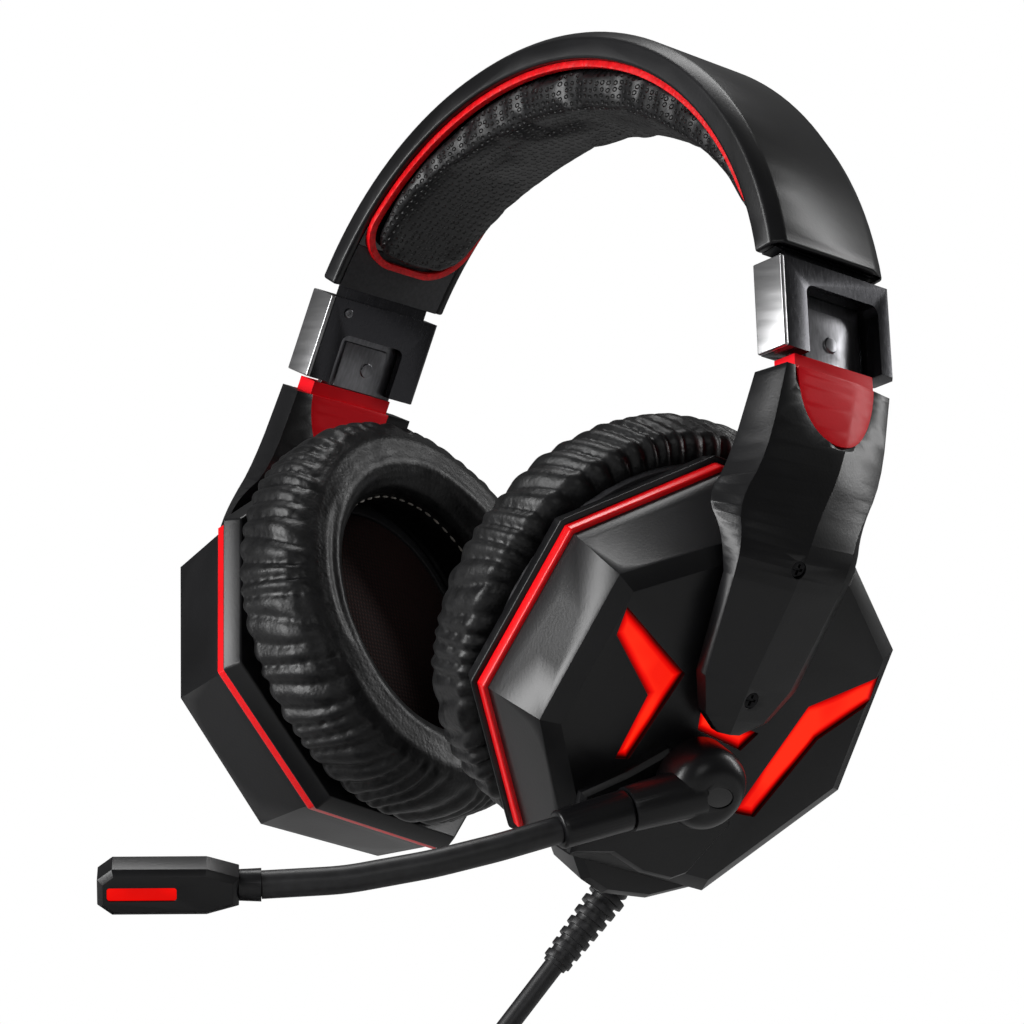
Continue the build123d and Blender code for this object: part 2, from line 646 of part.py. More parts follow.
# ================= cord =================
cord_dir = Vector(-0.22, -0.45, -0.866).normalized()
RELIEF_L = 20.0
gland_at = on(CUP, 3.0, -50.0, 8.0)
relief_at = on(CUP, 3.2, -55.2, 8.2)
relief_end = relief_at + cord_dir * RELIEF_L
GLAND_R = 4.2
# cover under the left cup that the cord comes out of, shaped as a chin below the face
CHIN_EDGE = [(-19.0, -43.0), (-12.6, -50.0), (-6.2, -52.2), (5.5, -51.6), (18.0, -46.4), (17.0, -40.0),
             (-17.0, -38.0)]
with BuildPart() as cord_gland:
    add(prism(CHIN_EDGE, 5.0, 18.6))
    chamfer(cord_gland.faces().sort_by(Axis(CUP.origin, CUP.z_dir))[-1].edges(), 1.6)
    add(cone_between(gland_at, relief_at, GLAND_R, GLAND_R - 0.4))
    loft(face_levels(0.0, 0.0), ruled=True, mode=Mode.SUBTRACT)
save(cord_gland.part, "cord_gland")

RELIEF_RIBS = 7
rib_pitch = RELIEF_L / RELIEF_RIBS
with BuildPart() as cord_relief:
    add(cone_between(relief_at, relief_end, 3.0, 2.7))
    for rib in range(RELIEF_RIBS):
        rib_start = relief_at + cord_dir * (rib * rib_pitch + 0.4)
        rib_radius = 4.2 - 0.16 * rib
        add(cone_between(rib_start, rib_start + cord_dir * 1.5, rib_radius, rib_radius))
    add(cord_gland.part, mode=Mode.SUBTRACT)
save(cord_relief.part, "cord_relief")


def free_cord(points, name):
    """Straight runs joined by arcs as large as the runs allow; prints the radii."""
    corners = [Vector(p) for p in points]
    runs = [b - a for a, b in zip(corners, corners[1:])]
    radii = []
    for before, after in zip(runs, runs[1:]):
        half_turn = radians(before.get_angle(after) / 2)
        radii.append(0.45 * min(before.length, after.length) / tan(half_turn))
    with BuildPart() as tube:
        with BuildLine() as route:
            FilletPolyline(*corners, radius=radii)
        with BuildSketch(Plane(origin=route.line @ 0, z_dir=route.line % 0)):
            Circle(CORD_D / 2)
        sweep()
    length = route.wire().length
    expected = length * pi * CORD_D ** 2 / 4
    print(name, "radii", [round(r, 1) for r in radii], "length", round(length, 1),
          "volume ratio", round(tube.part.volume / expected, 4))
    save(tube.part, name)


cord_low = FLOOR_Z + CORD_D / 2
cord_route = [
    relief_end, relief_end + cord_dir * 13.0, (31.5, -26.5, -219.0), (25.5, -36.0, -231.5),
    (14.0, -46.5, cord_low), (-4.0, -54.5, cord_low),
]
free_cord(cord_route, "cord")
tail_route = [(18.5, -114.0, cord_low), (30.5, -105.0, cord_low), (41.0, -97.5, -237.2), (51.0, -91.5, -236.2)]
free_cord(tail_route, "cord_tail")

with BuildPart() as cord_coil:
    with BuildSketch(Plane.XY.offset(FLOOR_Z + TIE_T)):
        with Locations((COIL_X, COIL_Y)):
            Circle(COIL_R_OUT)
            Circle(COIL_R_IN, mode=Mode.SUBTRACT)
    extrude(amount=COIL_H)
    fillet(cord_coil.edges(), 3.0)
save(cord_coil.part, "cord_coil")

TIE_ANGLE, TIE_HALF = 195.0, 4.0
tie_dir = Vector(cos(radians(TIE_ANGLE)), sin(radians(TIE_ANGLE)), 0)
tie_mid = Vector(COIL_X, COIL_Y, FLOOR_Z + TIE_T + COIL_H / 2) + tie_dir * ((COIL_R_IN + COIL_R_OUT) / 2)
with BuildPart() as cord_tie:
    with BuildSketch(Plane(origin=tie_mid, x_dir=tie_dir, z_dir=tie_dir.cross(Vector(0, 0, 1)))):
        Rectangle(COIL_R_OUT - COIL_R_IN + 2 * TIE_T, COIL_H + 2 * TIE_T)
    extrude(amount=TIE_HALF, both=True)
    fillet(cord_tie.edges().filter_by(Axis(tie_mid, tie_dir.cross(Vector(0, 0, 1)))), 3.0)
    add(cord_coil.part, mode=Mode.SUBTRACT)
save(cord_tie.part, "cord_tie")

plug_at = Vector(*tail_route[-1])
plug_dir = (plug_at - Vector(*tail_route[-2])).normalized()
plug_dir = Vector(plug_dir.X, plug_dir.Y, 0).normalized()
PLUG = Plane(origin=plug_at, x_dir=plug_dir.cross(Vector(0, 0, 1)), z_dir=plug_dir)
with BuildPart() as plug_body:
    add(cone_between(plug_at, plug_at + plug_dir * 9.0, 2.7, 3.4))
    with BuildSketch(PLUG.offset(9.0)):
        RectangleRounded(15.2, 7.6, 2.0)
    extrude(amount=26)
save(plug_body.part, "plug_body")

with BuildPart() as plug_shell:
    with BuildSketch(PLUG.offset(35.0)):
        Rectangle(12.0, 4.5)
        with Locations((0, 0.9)):
            Rectangle(11.4, 2.1, mode=Mode.SUBTRACT)
    extrude(amount=18.7)
save(plug_shell.part, "plug_shell")
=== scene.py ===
import json
from math import atan2, cos, degrees, hypot, pi, radians, sin, sqrt

import bmesh
import bpy
from mathutils import Matrix, Vector, noise
from mathutils.bvhtree import BVHTree


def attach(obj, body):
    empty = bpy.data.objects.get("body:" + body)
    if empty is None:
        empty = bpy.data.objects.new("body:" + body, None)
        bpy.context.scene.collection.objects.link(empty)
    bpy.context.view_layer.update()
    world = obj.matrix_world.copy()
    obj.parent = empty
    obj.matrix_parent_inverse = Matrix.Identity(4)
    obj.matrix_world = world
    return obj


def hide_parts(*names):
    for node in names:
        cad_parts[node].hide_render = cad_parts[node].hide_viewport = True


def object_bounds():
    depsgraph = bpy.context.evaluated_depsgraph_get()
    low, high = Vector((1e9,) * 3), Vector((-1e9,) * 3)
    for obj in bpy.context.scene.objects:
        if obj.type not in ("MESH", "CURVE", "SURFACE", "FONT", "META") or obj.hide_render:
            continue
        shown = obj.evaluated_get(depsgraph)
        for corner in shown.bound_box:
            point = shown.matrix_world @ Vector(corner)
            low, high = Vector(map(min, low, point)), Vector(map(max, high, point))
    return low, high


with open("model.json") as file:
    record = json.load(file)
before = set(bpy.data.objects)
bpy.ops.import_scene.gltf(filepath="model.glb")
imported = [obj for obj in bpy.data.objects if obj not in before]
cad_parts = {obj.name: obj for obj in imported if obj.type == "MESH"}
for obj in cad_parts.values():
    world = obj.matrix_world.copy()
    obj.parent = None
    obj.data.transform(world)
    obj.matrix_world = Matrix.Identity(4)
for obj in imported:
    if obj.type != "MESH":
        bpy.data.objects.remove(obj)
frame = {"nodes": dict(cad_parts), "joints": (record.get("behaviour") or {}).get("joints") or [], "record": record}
cad_box = [list(corner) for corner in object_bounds()]
nodes, record = frame["nodes"], frame["record"]
mounts = {mount["name"]: mount for mount in record["mounts"]}
joints = {joint["name"]: joint for joint in frame["joints"]}
slot_of = {part["node"]: part["material_slot"] for part in record["subparts"]}
body_of = {node: body for body, members in record["behaviour"]["bodies"].items() for node in members}
MM = 0.001
SIDES = ("left", "right")

# ---------------- camera ----------------
lens = bpy.data.cameras.new("studio_camera")
lens.lens = 137.56
lens.clip_start = 0.02
camera = bpy.data.objects.new("studio_camera", lens)
bpy.context.collection.objects.link(camera)
camera.matrix_world = Matrix((
    (0.647454, 0.000981, 0.762104, 0.675023), (0.747549, -0.195322, -0.634838, -0.574395),
    (0.148233, 0.980739, -0.127195, -0.206025), (0, 0, 0, 1),
))
bpy.context.scene.camera = camera


# ---------------- colour and nodes ----------------
def linear(code):
    """sRGB hex to the linear colour that a shader takes."""
    channels = [int(code[i:i + 2], 16) / 255 for i in (1, 3, 5)]
    return (*[c / 12.92 if c <= 0.04045 else ((c + 0.055) / 1.055) ** 2.4 for c in channels], 1.0)


def node(tree, kind, inputs=None, stops=(), **settings):
    """Adds a node: inputs are values or sockets, stops are (place, hex) pairs, settings are properties."""
    made = tree.nodes.new(kind)
    for _ in stops[2:]:
        made.color_ramp.elements.new(1.0)
    for stop, (position, code) in zip(made.color_ramp.elements if stops else (), stops):
        stop.position, stop.color = position, linear(code)
    for key, value in settings.items():
        setattr(made, key, value)
    for key, value in (inputs or {}).items():
        if isinstance(value, bpy.types.NodeSocket):
            tree.links.new(value, made.inputs[key])
        else:
            made.inputs[key].default_value = value
    return made


def finish(name, colour, roughness, **sockets):
    """Starts a material: its tree, its shader and its own Object coordinates."""
    made = bpy.data.materials.new(name)
    made.use_nodes = True
    tree = made.node_tree
    shader = tree.nodes["Principled BSDF"]
    shader.inputs["Base Color"].default_value = linear(colour)
    shader.inputs["Roughness"].default_value = roughness
    for key, value in sockets.items():
        shader.inputs[key.replace("_", " ")].default_value = value
    return made, tree, shader, node(tree, "ShaderNodeTexCoord").outputs["Object"]


# ---------------- cord, from the relief to the plug ----------------
LOW = -0.23775  # middle of the cord where it lies on the floor
RELIEF_END = (0.037911, -0.013018, -0.193279)
COIL_X, COIL_Y, COIL_Z = -0.002, -0.088, -0.23655
CORD_D = 0.0045
COIL_INNER_R = 0.01925  # middle of the cord in the innermost column
POINTS_IN_TURN = 13
POINT_STEP = radians(26.5)
PULL_IN = 1.012  # the curve runs inside its points by this much
route = [
    RELIEF_END, (0.035052, -0.018866, -0.204532), (0.0315, -0.0265, -0.219), (0.0255, -0.036, -0.2315),
    (0.014, -0.0465, LOW), (-0.004, -0.0545, LOW),
]
# the coil's turns, four side by side and three high, in the order that they are wound: (column, layer)
TURNS = [(3, 0), (2, 0), (1, 0), (0, 0), (0, 1), (0, 2), (1, 2), (1, 1), (2, 1), (2, 2), (3, 2), (3, 1)]
angle = radians(117)
for column, layer in TURNS:
    turn_r = (COIL_INNER_R + CORD_D * column) * PULL_IN
    for _ in range(POINTS_IN_TURN):
        route.append((COIL_X + turn_r * cos(angle), COIL_Y + turn_r * sin(angle), COIL_Z + CORD_D * layer))
        angle += POINT_STEP
route += [
    (0.008, -0.1235, -0.2345), (0.0215, -0.118, LOW), (0.0305, -0.1055, LOW), (0.041, -0.0975, -0.2372),
    (0.051, -0.0915, -0.2362),
]
cord_line = bpy.data.curves.new("audio_cord", "CURVE")
cord_line.dimensions = "3D"
spline = cord_line.splines.new("NURBS")
spline.points.add(len(route) - 1)
for point, place in zip(spline.points, route):
    point.co = (*place, 1.0)
    point.radius = CORD_D / 2
spline.order_u = 3
spline.use_endpoint_u = True
cord_line.bevel_depth = 1.0  # each point's radius gives the thickness
cord_line.bevel_resolution = 4
cord_line.resolution_u = 7
cord_line.use_fill_caps = True
audio_cord = bpy.data.objects.new("audio_cord", cord_line)
bpy.context.collection.objects.link(audio_cord)
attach(audio_cord, "left_cup")
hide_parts("cord", "cord_coil", "cord_tail")

# ---------------- materials ----------------
FINISHES = {}

# satin moulded ABS: a fine spark-eroded grain breaks up every reflection; drawn 0.6 mm wide so that it shows
shell_abs, tree, shader, place = finish("satin_moulded_abs", "#0e0e0f", 0.34, IOR=1.45,
                                        Specular_IOR_Level=0.42)
flow = node(tree, "ShaderNodeTexNoise", {"Vector": place, "Scale": 28.0, "Detail": 3.0})
tint = node(tree, "ShaderNodeValToRGB", {"Fac": flow.outputs["Fac"]}, [(0.35, "#09090a"), (0.68, "#131315")])
tree.links.new(tint.outputs["Color"], shader.inputs["Base Color"])
sheen = node(tree, "ShaderNodeMapRange", {"Value": flow.outputs["Fac"], 1: 0.3, 2: 0.7, 3: 0.28, 4: 0.37})
tree.links.new(sheen.outputs["Result"], shader.inputs["Roughness"])
grit = node(tree, "ShaderNodeTexNoise", {"Vector": place, "Scale": 1600.0, "Detail": 1.0})
bump = node(tree, "ShaderNodeBump", {"Height": grit.outputs["Fac"], "Strength": 0.16, "Distance": 0.0001})
tree.links.new(bump.outputs["Normal"], shader.inputs["Normal"])
FINISHES["shell_black"] = shell_abs

# polished moulded ABS: near-black with sharp reflections and a few faint rub marks
gloss_abs, tree, shader, place = finish("polished_moulded_abs", "#0b0b0c", 0.16, IOR=1.5, Coat_Weight=0.3)
rubs = node(tree, "ShaderNodeTexNoise", {"Vector": place, "Scale": 140.0, "Detail": 6.0, "Roughness": 0.7})
dull = node(tree, "ShaderNodeMapRange", {"Value": rubs.outputs["Fac"], 1: 0.45, 2: 0.75, 3: 0.12, 4: 0.3})
tree.links.new(dull.outputs["Result"], shader.inputs["Roughness"])
FINISHES["liner_black"] = gloss_abs

# satin red ABS insert: saturated red, soft highlight, slight flow marks
insert_abs, tree, shader, place = finish("satin_red_abs", "#e8061a", 0.4, IOR=1.45, Specular_IOR_Level=0.25)
flow = node(tree, "ShaderNodeTexNoise", {"Vector": place, "Scale": 70.0, "Detail": 2.0})
tint = node(tree, "ShaderNodeValToRGB", {"Fac": flow.outputs["Fac"]}, [(0.3, "#e00416"), (0.7, "#f4081e")])
tree.links.new(tint.outputs["Color"], shader.inputs["Base Color"])
grit = node(tree, "ShaderNodeTexNoise", {"Vector": place, "Scale": 1600.0, "Detail": 1.0})
bump = node(tree, "ShaderNodeBump", {"Height": grit.outputs["Fac"], "Strength": 0.1, "Distance": 0.0001})
tree.links.new(bump.outputs["Normal"], shader.inputs["Normal"])
FINISHES["red_satin"] = insert_abs

# gloss lacquered accent ring: deep red under a clear coat that catches the lights
ring_lacquer, tree, shader, place = finish("lacquered_red_ring", "#e2040e", 0.3, IOR=1.45, Coat_Weight=0.25,
                                           Coat_Roughness=0.15, Specular_IOR_Level=0.3)
flow = node(tree, "ShaderNodeTexNoise", {"Vector": place, "Scale": 45.0, "Detail": 2.0})
tint = node(tree, "ShaderNodeValToRGB", {"Fac": flow.outputs["Fac"]}, [(0.3, "#d4030c"), (0.7, "#f20612")])
tree.links.new(tint.outputs["Color"], shader.inputs["Base Color"])
FINISHES["red_ring"] = ring_lacquer

# translucent light guide with light-emitting diodes behind it: hot orange core, deep red at the edges
lit_guide, tree, shader, place = finish("lit_light_guide", "#2c0202", 0.5, Specular_IOR_Level=0.1)
glow = node(tree, "ShaderNodeAttribute", attribute_name="glow").outputs["Fac"]
spots = node(tree, "ShaderNodeTexNoise", {"Vector": place, "Scale": 90.0, "Detail": 1.0})
uneven = node(tree, "ShaderNodeMapRange", {"Value": spots.outputs["Fac"], 1: 0.3, 2: 0.7, 3: -0.14, 4: 0.14})
heat = node(tree, "ShaderNodeMath", {0: glow, 1: uneven.outputs["Result"]}, operation="ADD", use_clamp=True)
tint = node(tree, "ShaderNodeValToRGB", {"Fac": heat.outputs["Value"]},
            [(0.0, "#4a0100"), (0.4, "#c00200"), (0.75, "#f20803"), (1.0, "#ff2a12")])
tree.links.new(tint.outputs["Color"], shader.inputs["Emission Color"])
power = node(tree, "ShaderNodeMapRange", {"Value": heat.outputs["Value"], 1: 0.0, 2: 1.0, 3: 0.5, 4: 1.1})
tree.links.new(power.outputs["Result"], shader.inputs["Emission Strength"])
FINISHES["light_guide"] = lit_guide

# gunmetal paint on a zinc casting: dark metallic with faint vertical polishing lines 0.5 mm apart
gunmetal, tree, shader, place = finish("gunmetal_painted_zinc", "#3b3b3e", 0.3, Metallic=0.9)
drawn = node(tree, "ShaderNodeMapping", {"Vector": place, "Scale": (1.0, 1.0, 0.05)})
lines = node(tree, "ShaderNodeTexNoise", {"Vector": drawn.outputs["Vector"], "Scale": 1800.0, "Detail": 2.0})
tint = node(tree, "ShaderNodeValToRGB", {"Fac": lines.outputs["Fac"]}, [(0.3, "#38383b"), (0.7, "#3d3d40")])
tree.links.new(tint.outputs["Color"], shader.inputs["Base Color"])
rub = node(tree, "ShaderNodeMapRange", {"Value": lines.outputs["Fac"], 1: 0.3, 2: 0.7, 3: 0.22, 4: 0.28})
tree.links.new(rub.outputs["Result"], shader.inputs["Roughness"])
bump = node(tree, "ShaderNodeBump", {"Height": lines.outputs["Fac"], "Strength": 0.02, "Distance": 0.0001})
tree.links.new(bump.outputs["Normal"], shader.inputs["Normal"])
FINISHES["gunmetal"] = gunmetal

# satin plated trim: pale metal with soft lines drawn through the plating
silver, tree, shader, place = finish("satin_plated_trim", "#a9a9aa", 0.3, Metallic=1.0)
drawn = node(tree, "ShaderNodeMapping", {"Vector": place, "Scale": (0.12, 1.0, 1.0)})
lines = node(tree, "ShaderNodeTexNoise", {"Vector": drawn.outputs["Vector"], "Scale": 500.0, "Detail": 3.0})
tint = node(tree, "ShaderNodeValToRGB", {"Fac": lines.outputs["Fac"]}, [(0.3, "#a2a2a3"), (0.7, "#b4b4b5")])
tree.links.new(tint.outputs["Color"], shader.inputs["Base Color"])
rub = node(tree, "ShaderNodeMapRange", {"Value": lines.outputs["Fac"], 1: 0.3, 2: 0.7, 3: 0.28, 4: 0.32})
tree.links.new(rub.outputs["Result"], shader.inputs["Roughness"])
FINISHES["silver"] = silver

# brushed spring steel: brushing lines along the strip, drawn 0.7 mm apart so that they show
steel, tree, shader, place = finish("brushed_spring_steel", "#7e7e80", 0.32, Metallic=1.0)
drawn = node(tree, "ShaderNodeMapping", {"Vector": place, "Scale": (1.0, 1.0, 0.05)})
lines = node(tree, "ShaderNodeTexNoise", {"Vector": drawn.outputs["Vector"], "Scale": 1500.0, "Detail": 2.0})
tint = node(tree, "ShaderNodeValToRGB", {"Fac": lines.outputs["Fac"]}, [(0.3, "#747477"), (0.7, "#88888b")])
tree.links.new(tint.outputs["Color"], shader.inputs["Base Color"])
bump = node(tree, "ShaderNodeBump", {"Height": lines.outputs["Fac"], "Strength": 0.03, "Distance": 0.0001})
tree.links.new(bump.outputs["Normal"], shader.inputs["Normal"])
FINISHES["steel"] = steel

# black oxide on a steel screw: dark, slightly oily, fine mottling
oxide, tree, shader, place = finish("black_oxide_screw", "#101011", 0.26, Metallic=0.8)
mottle = node(tree, "ShaderNodeTexNoise", {"Vector": place, "Scale": 1200.0, "Detail": 3.0})
tint = node(tree, "ShaderNodeValToRGB", {"Fac": mottle.outputs["Fac"]}, [(0.3, "#0b0b0c"), (0.7, "#1b1b1d")])
tree.links.new(tint.outputs["Color"], shader.inputs["Base Color"])
FINISHES["screw_black"] = oxide

# polyurethane leather over foam: pebbled grain 0.8 mm across, painted shade darkening its creases, soft broken
# highlights
soft_leather, tree, shader, place = finish("pebbled_pu_leather", "#0c0c0d", 0.42, IOR=1.45,
                                           Specular_IOR_Level=0.4)
pebbles = node(tree, "ShaderNodeTexVoronoi", {"Vector": place, "Scale": 1250.0, "Randomness": 0.9},
               feature="SMOOTH_F1")
creases_and_painted_shade = node(tree, "ShaderNodeTexNoise", {"Vector": place, "Scale": 260.0, "Detail": 4.0, "Roughness": 0.6})
# painted shade: the colour is darker where the creases lie low
tint = node(tree, "ShaderNodeValToRGB", {"Fac": creases_and_painted_shade.outputs["Fac"]}, [(0.3, "#070708"), (0.7, "#111112")])
tree.links.new(tint.outputs["Color"], shader.inputs["Base Color"])
rub = node(tree, "ShaderNodeMapRange", {"Value": creases_and_painted_shade.outputs["Fac"], 1: 0.3, 2: 0.7, 3: 0.34, 4: 0.5})
tree.links.new(rub.outputs["Result"], shader.inputs["Roughness"])
grain = node(tree, "ShaderNodeBump", {"Height": pebbles.outputs["Distance"], "Strength": 0.22,
                                      "Distance": 0.0003}, invert=True)
wrinkle = node(tree, "ShaderNodeBump", {"Height": creases_and_painted_shade.outputs["Fac"], "Strength": 0.2, "Distance": 0.0005,
                                        "Normal": grain.outputs["Normal"]})
tree.links.new(wrinkle.outputs["Normal"], shader.inputs["Normal"])
FINISHES["pu_leather"] = soft_leather

# pressed leather of the crown pad: rows of small dimples 1.9 mm apart, each darkened with painted shade
pad_leather, tree, shader, place = finish("dimpled_pu_leather", "#0e0e0f", 0.4, IOR=1.45,
                                          Specular_IOR_Level=0.45)
pad_map = node(tree, "ShaderNodeUVMap", uv_map="pad_rows").outputs["UV"]
cells = node(tree, "ShaderNodeTexVoronoi", {"Vector": pad_map, "Scale": 1.0, "Randomness": 0.35},
             voronoi_dimensions="2D", feature="F1")
dimple_depth_and_shade = node(tree, "ShaderNodeMapRange", {"Value": cells.outputs["Distance"], 1: 0.16, 2: 0.36,
                                         3: 0.0, 4: 1.0}, interpolation_type="SMOOTHSTEP")
creases_and_painted_shade = node(tree, "ShaderNodeTexNoise", {"Vector": place, "Scale": 700.0, "Detail": 4.0})
# painted shade: the colour is darker where the creases lie low
tint = node(tree, "ShaderNodeValToRGB", {"Fac": creases_and_painted_shade.outputs["Fac"]}, [(0.3, "#0a0a0b"), (0.7, "#141416")])
# painted shade: each dimple is filled with near-black where its bump sinks
painted_dimple_shade = node(tree, "ShaderNodeMix", {"Factor": dimple_depth_and_shade.outputs["Result"], 6: linear("#050505"),
                                      7: tint.outputs["Color"]}, data_type="RGBA")
tree.links.new(painted_dimple_shade.outputs[2], shader.inputs["Base Color"])
dimple = node(tree, "ShaderNodeBump", {"Height": dimple_depth_and_shade.outputs["Result"], "Strength": 0.75,
                                       "Distance": 0.0005})
wrinkle = node(tree, "ShaderNodeBump", {"Height": creases_and_painted_shade.outputs["Fac"], "Strength": 0.25,
                                        "Distance": 0.0003, "Normal": dimple.outputs["Normal"]})
tree.links.new(wrinkle.outputs["Normal"], shader.inputs["Normal"])

# red leather piping: small pleats where it goes round the pad, 1.2 mm apart, with painted shade in their valleys
piping_skin, tree, shader, place = finish("red_leather_piping", "#d00812", 0.4, IOR=1.45,
                                          Specular_IOR_Level=0.3)
folds_and_painted_shade = node(tree, "ShaderNodeTexNoise", {"Vector": place, "Scale": 800.0, "Detail": 3.0})
# painted shade: the red is darker where the pleats lie low
tint = node(tree, "ShaderNodeValToRGB", {"Fac": folds_and_painted_shade.outputs["Fac"]}, [(0.3, "#b8050c"), (0.7, "#e60c16")])
tree.links.new(tint.outputs["Color"], shader.inputs["Base Color"])
bump = node(tree, "ShaderNodeBump", {"Height": folds_and_painted_shade.outputs["Fac"], "Strength": 0.5, "Distance": 0.0005})
tree.links.new(bump.outputs["Normal"], shader.inputs["Normal"])
FINISHES["red_piping"] = piping_skin

# knitted acoustic cloth: dark maroon, threads drawn 1 mm apart so that the knit shows
knit, tree, shader, place = finish("knitted_acoustic_cloth", "#24100e", 0.95, Sheen_Weight=0.25)
shader.inputs["Sheen Tint"].default_value = linear("#5a2a24")
knit_map = node(tree, "ShaderNodeUVMap", uv_map="threads").outputs["UV"]
THREADS = {"Vector": knit_map, "Scale": 0.314, "Distortion": 0.6}
rows = node(tree, "ShaderNodeTexWave", THREADS, bands_direction="X")
cross = node(tree, "ShaderNodeTexWave", THREADS, bands_direction="Y")
weave = node(tree, "ShaderNodeMath", {0: rows.outputs["Fac"], 1: cross.outputs["Fac"]}, operation="MULTIPLY")
tint = node(tree, "ShaderNodeValToRGB", {"Fac": weave.outputs["Value"]}, [(0.0, "#120706"), (1.0, "#381a16")])
tree.links.new(tint.outputs["Color"], shader.inputs["Base Color"])
bump = node(tree, "ShaderNodeBump", {"Height": weave.outputs["Value"], "Strength": 0.5, "Distance": 0.0003})
tree.links.new(bump.outputs["Normal"], shader.inputs["Normal"])
FINISHES["cloth"] = knit

# plain moulded ABS inside: matt dark grey with coarse grain
inner_abs, tree, shader, place = finish("matt_moulded_abs", "#202022", 0.6, IOR=1.5)
grit = node(tree, "ShaderNodeTexNoise", {"Vector": place, "Scale": 1100.0, "Detail": 2.0})
tint = node(tree, "ShaderNodeValToRGB", {"Fac": grit.outputs["Fac"]}, [(0.3, "#1a1a1c"), (0.7, "#28282b")])
tree.links.new(tint.outputs["Color"], shader.inputs["Base Color"])
bump = node(tree, "ShaderNodeBump", {"Height": grit.outputs["Fac"], "Strength": 0.3, "Distance": 0.0001})
tree.links.new(bump.outputs["Normal"], shader.inputs["Normal"])
FINISHES["inner_plastic"] = inner_abs

# glass-fibre circuit board under green solder mask: faint weave 1 mm apart
board, tree, shader, place = finish("masked_circuit_board", "#0d3a1c", 0.35, IOR=1.5)
fibres = node(tree, "ShaderNodeTexWave", {"Vector": place, "Scale": 320.0, "Distortion": 1.0})
tint = node(tree, "ShaderNodeValToRGB", {"Fac": fibres.outputs["Fac"]}, [(0.0, "#0a3016"), (1.0, "#124a24")])
tree.links.new(tint.outputs["Color"], shader.inputs["Base Color"])
FINISHES["board"] = board

# soft moulded PVC of the cord and its relief: charcoal, slightly greasy sheen, drag lines along it
soft_pvc, tree, shader, place = finish("soft_moulded_pvc", "#1a1a1b", 0.44, IOR=1.5)
drag = node(tree, "ShaderNodeTexNoise", {"Vector": place, "Scale": 420.0, "Detail": 3.0})
tint = node(tree, "ShaderNodeValToRGB", {"Fac": drag.outputs["Fac"]}, [(0.3, "#141415"), (0.7, "#222224")])
tree.links.new(tint.outputs["Color"], shader.inputs["Base Color"])
bump = node(tree, "ShaderNodeBump", {"Height": drag.outputs["Fac"], "Strength": 0.14, "Distance": 0.0002})
tree.links.new(bump.outputs["Normal"], shader.inputs["Normal"])
FINISHES["rubber"] = soft_pvc

# waxed polyester thread: pale grey, twisted strands 0.5 mm apart
thread, tree, shader, place = finish("waxed_polyester_thread", "#8d8880", 0.6, Sheen_Weight=0.2)
twist = node(tree, "ShaderNodeTexNoise", {"Vector": place, "Scale": 2000.0, "Detail": 1.0})
tint = node(tree, "ShaderNodeValToRGB", {"Fac": twist.outputs["Fac"]}, [(0.3, "#6d6962"), (0.7, "#a39e95")])
tree.links.new(tint.outputs["Color"], shader.inputs["Base Color"])

audio_cord.data.materials.append(soft_pvc)
for name, cad in nodes.items():
    cad.data.materials.clear()
    cad.data.materials.append(FINISHES[slot_of[name]])


# ---------------- making pieces ----------------
EAR_FACE_UP, EAR_FACE_IN = 35, 30  # from a cup's centre to where its ear face is stated, in mm


def cup_place(side):
    """A cup's own axes: x to the rear, y up along it, z outward. The right cup mirrors the left one."""
    face = mounts["ear_face_" + side]
    hand = 1 if side == "left" else -1
    out = -Vector(face["axis"])
    rear = -hand * Vector(joints["cup_tilt_" + side]["axis"])
    up = hand * out.cross(rear)
    centre = Vector(face["pos_m"]) - up * EAR_FACE_UP * MM + out * EAR_FACE_IN * MM
    return Matrix.Translation(centre) @ Matrix((rear, up, out)).transposed().to_4x4()


def piece(name, bm, body, material, place=None, stands_for=()):
    """Turns a bmesh into a finished piece in the shared frame, riding on its body."""
    if place:
        bmesh.ops.transform(bm, matrix=place, verts=bm.verts)
        if place.determinant() < 0:
            bmesh.ops.reverse_faces(bm, faces=bm.faces)
    mesh = bpy.data.meshes.new(name)
    bm.to_mesh(mesh)
    bm.free()
    mesh.shade_smooth()
    mesh.materials.append(material)
    made = bpy.data.objects.new(name, mesh)
    bpy.context.collection.objects.link(made)
    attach(made, body)
    if stands_for:
        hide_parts(*stands_for)
    return made


def merged_copy(name):
    """A CAD node's mesh with its loose triangles joined and its flat faces made whole."""
    bm = bmesh.new()
    bm.from_mesh(nodes[name].data)
    bmesh.ops.remove_doubles(bm, verts=bm.verts, dist=2e-6)
    # the arms and their inserts are rows of narrow twisted strips, so their triangles stay as they are
    twisted = ("arm_left", "arm_right", "arm_insert_left", "arm_insert_right")
    flat = 0.02 if name in twisted else 0.6
    bmesh.ops.dissolve_limit(bm, angle_limit=radians(flat), verts=bm.verts, edges=bm.edges)
    return bm


def softened(name, width, limit):
    """A part with the small radius, in mm, of its mould on every edge sharper than a limit in degrees."""
    made = piece(name + "_moulded", merged_copy(name), body_of[name], FINISHES[slot_of[name]],
                 stands_for=(name,))
    bevel = made.modifiers.new("mould_radius", "BEVEL")
    bevel.width = width * MM
    bevel.segments = 3
    bevel.limit_method = "ANGLE"
    bevel.angle_limit = radians(limit)
    bevel.harden_normals = True
    bevel.profile = 0.5
    return made


